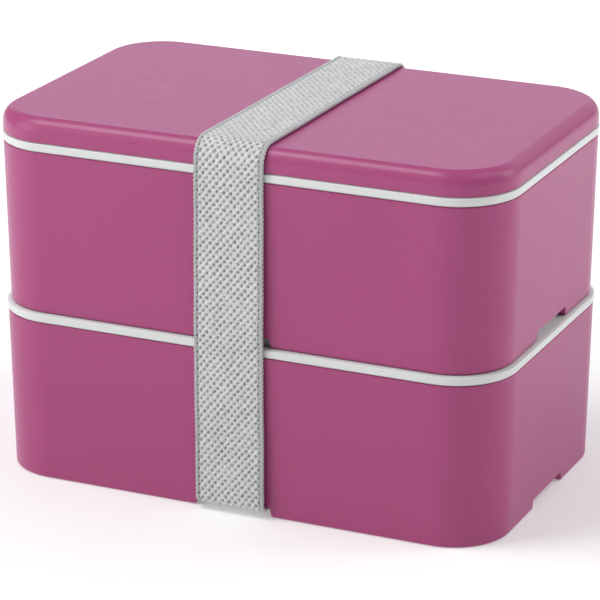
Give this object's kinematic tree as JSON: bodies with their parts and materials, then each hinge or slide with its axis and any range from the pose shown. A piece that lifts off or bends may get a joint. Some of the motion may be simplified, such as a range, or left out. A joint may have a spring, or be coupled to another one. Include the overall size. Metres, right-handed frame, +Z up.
{
  "type": "bento lunch box",
  "caption": "Two-tier bento lunch box: stacked deep containers with plug-in sealing lids, a flat outer lid and a wide elastic strap round the stack",
  "frame": {"origin": "On the table, under the middle of the box", "axes": "+X along the box's length, +Y to the back, +Z up"},
  "size_m": [0.17, 0.1082, 0.1194],
  "materials": {
    "container": "fine satin moulded polypropylene, pink",
    "outer_lid": "fine satin moulded polypropylene, pink",
    "sealing_lid": "satin white polypropylene",
    "silicone": "translucent white silicone, matt",
    "elastic": "light grey knitted elastic with a pebbled face and ribbed edges",
    "thread": "grey sewing thread"
  },
  "bodies": {
    "lower_box": {"lower_container": "container"},
    "lower_lid": {"lower_sealing_lid": "sealing_lid", "lower_gasket": "silicone"},
    "lower_vent": {"lower_vent_plug": "silicone"},
    "upper_box": {"upper_container": "container"},
    "upper_lid": {"upper_sealing_lid": "sealing_lid", "upper_gasket": "silicone"},
    "upper_vent": {"upper_vent_plug": "silicone"},
    "cover": {"outer_lid": "outer_lid"},
    "strap_base": {"strap_bottom_run": "elastic", "strap_seam_overlap": "elastic", "strap_seam_stitching": "thread"},
    "strap_low": {"strap_low_sides": "elastic"},
    "strap_waist": {"strap_waist_sides": "elastic"},
    "strap_high": {"strap_high_sides": "elastic"},
    "strap_top": {"strap_top_run": "elastic"}
  },
  "joints": [
    {"name": "lower_lid_lift", "type": "slide", "parent": "lower_box", "child": "lower_lid", "axis": [0, 0, 1], "range_m": [0, 0.03]},
    {"name": "lower_vent_pull", "type": "slide", "parent": "lower_lid", "child": "lower_vent", "axis": [0, 0, 1], "range_m": [0, 0.0015]},
    {"name": "upper_box_lift", "type": "slide", "parent": "lower_lid", "child": "upper_box", "axis": [0, 0, 1], "range_m": [0, 0.03]},
    {"name": "upper_lid_lift", "type": "slide", "parent": "upper_box", "child": "upper_lid", "axis": [0, 0, 1], "range_m": [0, 0.03]},
    {"name": "upper_vent_pull", "type": "slide", "parent": "upper_lid", "child": "upper_vent", "axis": [0, 0, 1], "range_m": [0, 0.0015]},
    {"name": "outer_lid_lift", "type": "slide", "parent": "upper_lid", "child": "cover", "axis": [0, 0, 1], "range_m": [0, 0.03]},
    {"name": "strap_off", "type": "slide", "parent": "lower_box", "child": "strap_base", "axis": [1, 0, 0], "range_m": [-0.12, 0.12], "deforming": ["strap_bottom_run"]},
    {"name": "strap_low_rise", "type": "slide", "parent": "strap_base", "child": "strap_low", "axis": [0, 0, 1], "range_m": [0, 0.03]},
    {"name": "strap_waist_rise", "type": "slide", "parent": "strap_low", "child": "strap_waist", "axis": [0, 0, 1], "range_m": [0, 0.03]},
    {"name": "strap_high_rise", "type": "slide", "parent": "strap_waist", "child": "strap_high", "axis": [0, 0, 1], "range_m": [0, 0.03]},
    {"name": "strap_top_rise", "type": "slide", "parent": "strap_high", "child": "strap_top", "axis": [0, 0, 1], "range_m": [0, 0.03]}
  ],
  "couplings": [
    {"joint": "strap_low_rise", "follows": "lower_lid_lift", "ratio": 1},
    {"joint": "strap_waist_rise", "follows": "upper_box_lift", "ratio": 1},
    {"joint": "strap_high_rise", "follows": "upper_lid_lift", "ratio": 1},
    {"joint": "strap_top_rise", "follows": "outer_lid_lift", "ratio": 1}
  ]
}
